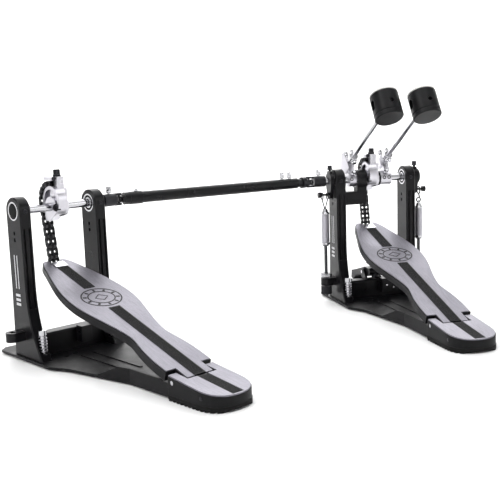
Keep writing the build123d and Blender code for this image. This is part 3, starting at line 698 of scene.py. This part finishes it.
def hub_dress(side, x, body):
    """A beater hub's key bolts, rod lock, collar and black set screws, with thin dark washer rings
    that paint the shade in the gaps round them.
    """
    out = Vector((0, cos(ROD_LEAN), sin(ROD_LEAN)))
    back = Vector((0, -sin(ROD_LEAN), cos(ROD_LEAN)))
    grip = AXLE + out * ROD_OFFSET + Vector((x, 0, 0))
    lock = grip + back * LOCK_REACH
    ring = AXLE + Vector((x + HUB_RING_SHIFT[side], 0, 0))

    bm = bmesh.new()
    add_key_bolt(bm, grip + out * 7.3, out, 7.0, 5.6, 0.95)
    add_key_bolt(bm, ring + back * 10 + out * 3, back + out * 0.25, 2.0, 5.0, 0.9)
    add_key_bolt(bm, lock + out * 6.2, out, 1.4, 4.4, 0.85)
    add_knurled(bm, 0, 0, 3.4, 0, 3.6, 14, frame_to(lock - out * 6.6, -out))
    collar = [(3.25, 15.6), (5.6, 15.6), (6.3, 16.4), (6.3, 25.6), (5.6, 26.4), (3.25, 26.4)]
    add_lathe(bm, collar, frame_to(grip, back), 32)
    block = [(px, py) for px, py, _ in rounded_square(3.9, 1.0, 0)]
    add_prism(bm, block, 0, 13.4, frame_to(lock - out * 6.8, out))
    finish_mesh(side + "_hub_bolts", bm, primary.matrix, "chrome", body, smooth=35)

    # Painted shade: dark rings in the gaps under the bolts and the collar and round the black set
    # screws.
    bm = bmesh.new()
    add_ring(bm, 2.0, 4.6, 7.2, 8.6, frame_to(grip, out), 24)
    add_ring(bm, 2.0, 4.3, 6.3, 7.2, frame_to(lock, out), 24)
    add_ring(bm, 3.3, 5.0, 14.2, 15.6, frame_to(grip, back), 28)
    way = Vector((0, -cos(SET_SCREW_ANGLE), sin(SET_SCREW_ANGLE)))
    for shift in SET_SCREW_SHIFTS[side]:
        seat = frame_to(ring + Vector((shift, 0, 0)) + way * 10.2, way)
        add_ring(bm, 1.5, 2.7, -0.4, 0.6, seat, 24)
        add_lathe(bm, [(1.5, -0.2), (1.5, 0.1), (0, 0.1)], seat, 16)
    finish_mesh(side + "_hub_gap_shade", bm, primary.matrix, "screw_black", body, smooth=35)


def hub_plate(x):
    """The teardrop plate on the left hub's outer face, leaning with the rod."""
    outline = []
    for i in range(25):
        a = radians(150 + 240 * i / 24)
        outline.append((10.5 * cos(a), 10.5 * sin(a) + 4))
    outline += [(1.8, 25), (-1.8, 25)]
    place = Matrix.Translation((x - 7.4, AXLE.y + 8, AXLE.z + 14))
    lean = place @ Matrix.Rotation(radians(12), 4, "Z") @ Matrix.Rotation(radians(-14), 4, "X")
    face = lean @ Matrix.Rotation(radians(90), 4, "Y") @ Matrix.Rotation(radians(90), 4, "Z")
    bm = bmesh.new()
    add_prism(bm, outline, -0.9, 0.9, face)
    finish_mesh("left_hub_plate", bm, primary.matrix, "cam_silver", "left_beater_body",
                smooth=35, bevel=0.35)


def cam_collar():
    """The dark thrust ring between the primary cam's clamp block and the right hub."""
    bm = bmesh.new()
    profile = [(5.2, 13.5), (10.6, 13.5), (11.3, 14.1), (11.3, 15.9), (10.6, 16.5), (5.2, 16.5)]
    add_lathe(bm, profile, frame_to(AXLE, (1, 0, 0)), 40)
    finish_mesh("cam_thrust_ring", bm, primary.matrix, "screw_black", "primary_axle_body",
                smooth=35)


def spring_x(side):
    """Where a side's spring hangs, across the primary pedal."""
    return joints[side + "_spring_tilt"]["pos_m"][0] / MM


def spring_dress(side):
    """The tension spring's wire, closely wound."""
    x = spring_x(side)
    low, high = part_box(side + "_spring_coil")
    z0, z1 = low.z / MM, high.z / MM
    r = (high.x - low.x) / MM / 2
    turns = (z1 - z0 - 2 * COIL_WIRE) / (2 * COIL_WIRE * COIL_GAP)
    bm = bmesh.new()
    add_helix(bm, x, AXLE.y, z0, z1, r - COIL_WIRE, COIL_WIRE, turns, 18, 6)
    coil = finish_mesh(side + "_coil_wire", bm, primary.matrix, "spring_steel", None, smooth=60)
    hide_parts(side + "_spring_coil")
    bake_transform(coil)


def nut_dress(side):
    """A spring's bright locking nut, big black nut, bright washer and bright cap."""
    x = spring_x(side)
    line = Matrix.Translation((x, AXLE.y, 0))
    body = side + "_spring_rod_body"
    bm = bmesh.new()
    add_knurled(bm, x, AXLE.y, 7.75, *LOCK_NUT_Z)
    finish_mesh(side + "_lock_nut", bm, primary.matrix, "chrome", body, smooth=25)
    bm = bmesh.new()
    add_knurled(bm, x, AXLE.y, 7.4, *TENSION_NUT_Z)
    finish_mesh(side + "_tension_nut", bm, primary.matrix, "screw_black", body, smooth=25)
    bm = bmesh.new()
    add_ring(bm, 2.4, 6.2, *SPRING_WASHER_Z, line)
    finish_mesh(side + "_spring_washer", bm, primary.matrix, "chrome", body)
    bm = bmesh.new()
    cap = [(5.6, 131.4), (6.1, 131.9), (6.1, 133.6), (4.6, 135.2), (3.5, 138.6), (2.7, 139.6)]
    add_lathe(bm, cap, line, 28)
    finish_mesh(side + "_spring_cap", bm, primary.matrix, "chrome", side + "_spring_hook_body")


def s_hook():
    """The right spring's hook: an eye round the pin, a lower loop, and the coil's end loop."""
    x = spring_x("right")
    body = "right_spring_hook_body"
    eye_z, eye_slot, eye_r = AXLE.z - PIN_DROP - 1.7, 0.8, 4.5
    loop_z, loop_r = 143.9, 3.2
    points = []
    for i in range(25):
        a = radians(200 + 350 * i / 24)
        z = eye_z + eye_slot * (1 if cos(a) > 0 else -1) + eye_r * cos(a)
        points.append((x, AXLE.y + eye_r * sin(a), z))
    for i in range(19):
        a = radians(35 + 330 * i / 18)
        points.append((x + loop_r * sin(a), AXLE.y, loop_z + loop_r * cos(a)))
    bm = bmesh.new()
    add_tube(bm, points, 1.05)
    hook = finish_mesh("right_hook_wire", bm, primary.matrix, "screw_black", body, smooth=60)
    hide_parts("right_spring_hook")

    half = [(-4.9, 0, 133), (-3.6, -0.8, 135.5), (-1.9, -1.7, 138.6), (-0.6, -1.6, 141.2),
            (0, -0.6, 142.6)]
    path = half + [(-px, -py, pz) for px, py, pz in reversed(half)]
    bm = bmesh.new()
    add_tube(bm, [(x + px, AXLE.y + py, pz) for px, py, pz in path], 0.7)
    finish_mesh("right_coil_loop", bm, primary.matrix, "chrome", body, smooth=60)


def rocker_dress(side, x, body):
    """The key bolt on a spring rocker, and the right rocker's boss."""
    bm = bmesh.new()
    add_key_bolt(bm, (x, AXLE.y, AXLE.z + 14), UP, 2.5, 4.5)
    finish_mesh(side + "_rocker_bolt", bm, primary.matrix, "screw_black", body, smooth=35)
    if side == "right":
        bm = bmesh.new()
        boss = [(5.1, 1.5), (11.6, 1.5), (11.6, 3.6), (10.6, 4.8), (5.6, 4.8), (5.1, 4.3)]
        add_lathe(bm, boss, frame_to((x, AXLE.y, AXLE.z), (1, 0, 0)), 40)
        finish_mesh("right_rocker_boss", bm, primary.matrix, "post_cast", body, smooth=35)


def shaft_dress():
    """Key bolts on the sleeve, on both couplings and on the end collar."""
    bm = bmesh.new()
    for along in SLEEVE_BOLTS:
        add_key_bolt(bm, shaft_from / MM + shaft_way * along + UP * SLEEVE_SEAT, UP, 2.0, 6.0)
    collar = shaft_from / MM + shaft_way * (shaft_span - COLLAR_BOLT_BACK) + UP * COLLAR_SEAT
    add_key_bolt(bm, collar, UP, 0.4, 3.0, 0.7)
    finish_mesh("sleeve_bolts", bm, Matrix.Scale(MM, 4), "chrome", "shaft_sleeve_body", smooth=35)
    couplings = (("left_coupling_bolt", primary, LEFT_COUPLING, "left_beater_body"),
                 ("slave_coupling_bolt", slave, SLAVE_COUPLING, "slave_axle_body"))
    for name, pedal, x, body in couplings:
        bm = bmesh.new()
        add_key_bolt(bm, (x, pedal.axle_y, pedal.axle_z + COUPLING_SEAT), UP, 2.0, 6.0)
        finish_mesh(name, bm, pedal.matrix, "chrome", body, smooth=35)


hub_dress("left", LEFT_BEATER, "left_beater_body")
hub_plate(LEFT_BEATER)
hub_dress("right", RIGHT_BEATER, "primary_axle_body")
cam_collar()
for side in ("left", "right"):
    spring_dress(side)
    nut_dress(side)
s_hook()
rocker_dress("left", LEFT_ROCKER, "left_beater_body")
rocker_dress("right", RIGHT_ROCKER, "primary_axle_body")
shaft_dress()


# ---------------------------------------------------------------- floor, light and camera
MIDDLE = (-0.15, 0.12, 0.10)
FLAT_REACH = 1.5
FLOOR_STEP = 0.25
FLOOR_ROWS = 32
FLOOR_SIDES = 96
WALL_CURVE = 0.3

CAMERA_PLACE = (-0.52433, -0.93735, 0.29421)
CAMERA_YAW = radians(15.732)
CAMERA_PITCH = radians(9.623)
CAMERA_ROLL = radians(-1.926)
CAMERA_LENS = 63.33
CAMERA_SHIFT = (0.0036, 0.0064)


def stage():
    """A round pale floor that rises into a soft wall, well away from the pedals."""
    bm = bmesh.new()
    rows = []
    for step in range(1, FLOOR_ROWS + 1):
        r = FLOOR_STEP * step
        height = 0.0 if r < FLAT_REACH else WALL_CURVE * (r - FLAT_REACH) ** 2
        rows.append([bm.verts.new((MIDDLE[0] + x, MIDDLE[1] + y, z))
                     for x, y, z in circle(r, height, FLOOR_SIDES)])
    bm.faces.new(rows[0])
    for inner, outer in zip(rows, rows[1:]):
        for i in range(FLOOR_SIDES):
            j = (i + 1) % FLOOR_SIDES
            bm.faces.new((inner[i], outer[i], outer[j], inner[j]))
    bmesh.ops.recalc_face_normals(bm, faces=bm.faces)
    mesh = bpy.data.meshes.new("floor")
    bm.to_mesh(mesh)
    bm.free()
    floor = bpy.data.objects.new("floor", mesh)
    for face in mesh.polygons:
        face.use_smooth = True
    bpy.context.scene.collection.objects.link(floor)
    mat, tree, shader = new_material("paper")
    cloud = noise(tree, coords(tree), 3, 2)
    colour = tint(tree, cloud, (0.90, 0.90, 0.90), (0.93, 0.93, 0.93))
    tree.links.new(colour, shader.inputs["Base Color"])
    shader.inputs["Roughness"].default_value = 0.9
    mesh.materials.append(mat)


def area_light(name, place, target, size, power):
    data = bpy.data.lights.new(name, "AREA")
    data.shape = "RECTANGLE"
    data.size, data.size_y = size
    data.energy = power
    lamp = bpy.data.objects.new(name, data)
    lamp.location = place
    aim = Vector(target) - Vector(place)
    lamp.rotation_euler = aim.to_track_quat("-Z", "Y").to_euler()
    bpy.context.scene.collection.objects.link(lamp)


def camera():
    """A camera that looks down at the pedals from their left rear, rolled a little."""
    yaw, pitch, roll = CAMERA_YAW, CAMERA_PITCH, CAMERA_ROLL
    forward = Vector((sin(yaw) * cos(pitch), cos(yaw) * cos(pitch), -sin(pitch)))
    right = Vector((cos(yaw), -sin(yaw), 0))
    up = right.cross(forward)
    right_rolled = right * cos(roll) + up * sin(roll)
    up_rolled = up * cos(roll) - right * sin(roll)
    turn = Matrix((right_rolled, up_rolled, -forward)).transposed().to_4x4()
    data = bpy.data.cameras.new("camera")
    data.lens = CAMERA_LENS
    data.sensor_width = 36
    data.shift_x, data.shift_y = CAMERA_SHIFT
    data.clip_start = 0.05
    cam = bpy.data.objects.new("camera", data)
    cam.matrix_world = Matrix.Translation(CAMERA_PLACE) @ turn
    bpy.context.scene.collection.objects.link(cam)
    bpy.context.scene.camera = cam


def world():
    """A plain white surround, weak beside the lamps."""
    studio = bpy.data.worlds.new("studio")
    studio.use_nodes = True
    background = studio.node_tree.nodes["Background"]
    background.inputs["Color"].default_value = (1, 1, 1, 1)
    background.inputs["Strength"].default_value = 0.15
    bpy.context.scene.world = studio


stage()
world()
area_light("key", (-1.9, -0.9, 1.7), MIDDLE, (1.2, 1.0), 24)
area_light("fill", (1.9, -1.0, 1.2), MIDDLE, (1.2, 1.2), 7)
area_light("back", (0.4, 2.2, 1.6), MIDDLE, (2.2, 1.0), 20)
area_light("top", (-0.1, 0.2, 2.4), MIDDLE, (3.0, 3.0), 54)
area_light("sweep", (0.6, 2.4, 2.6), (0.8, 4.0, 0.4), (4.0, 1.0), 120)
camera()
bpy.context.scene.view_settings.view_transform = "Standard"
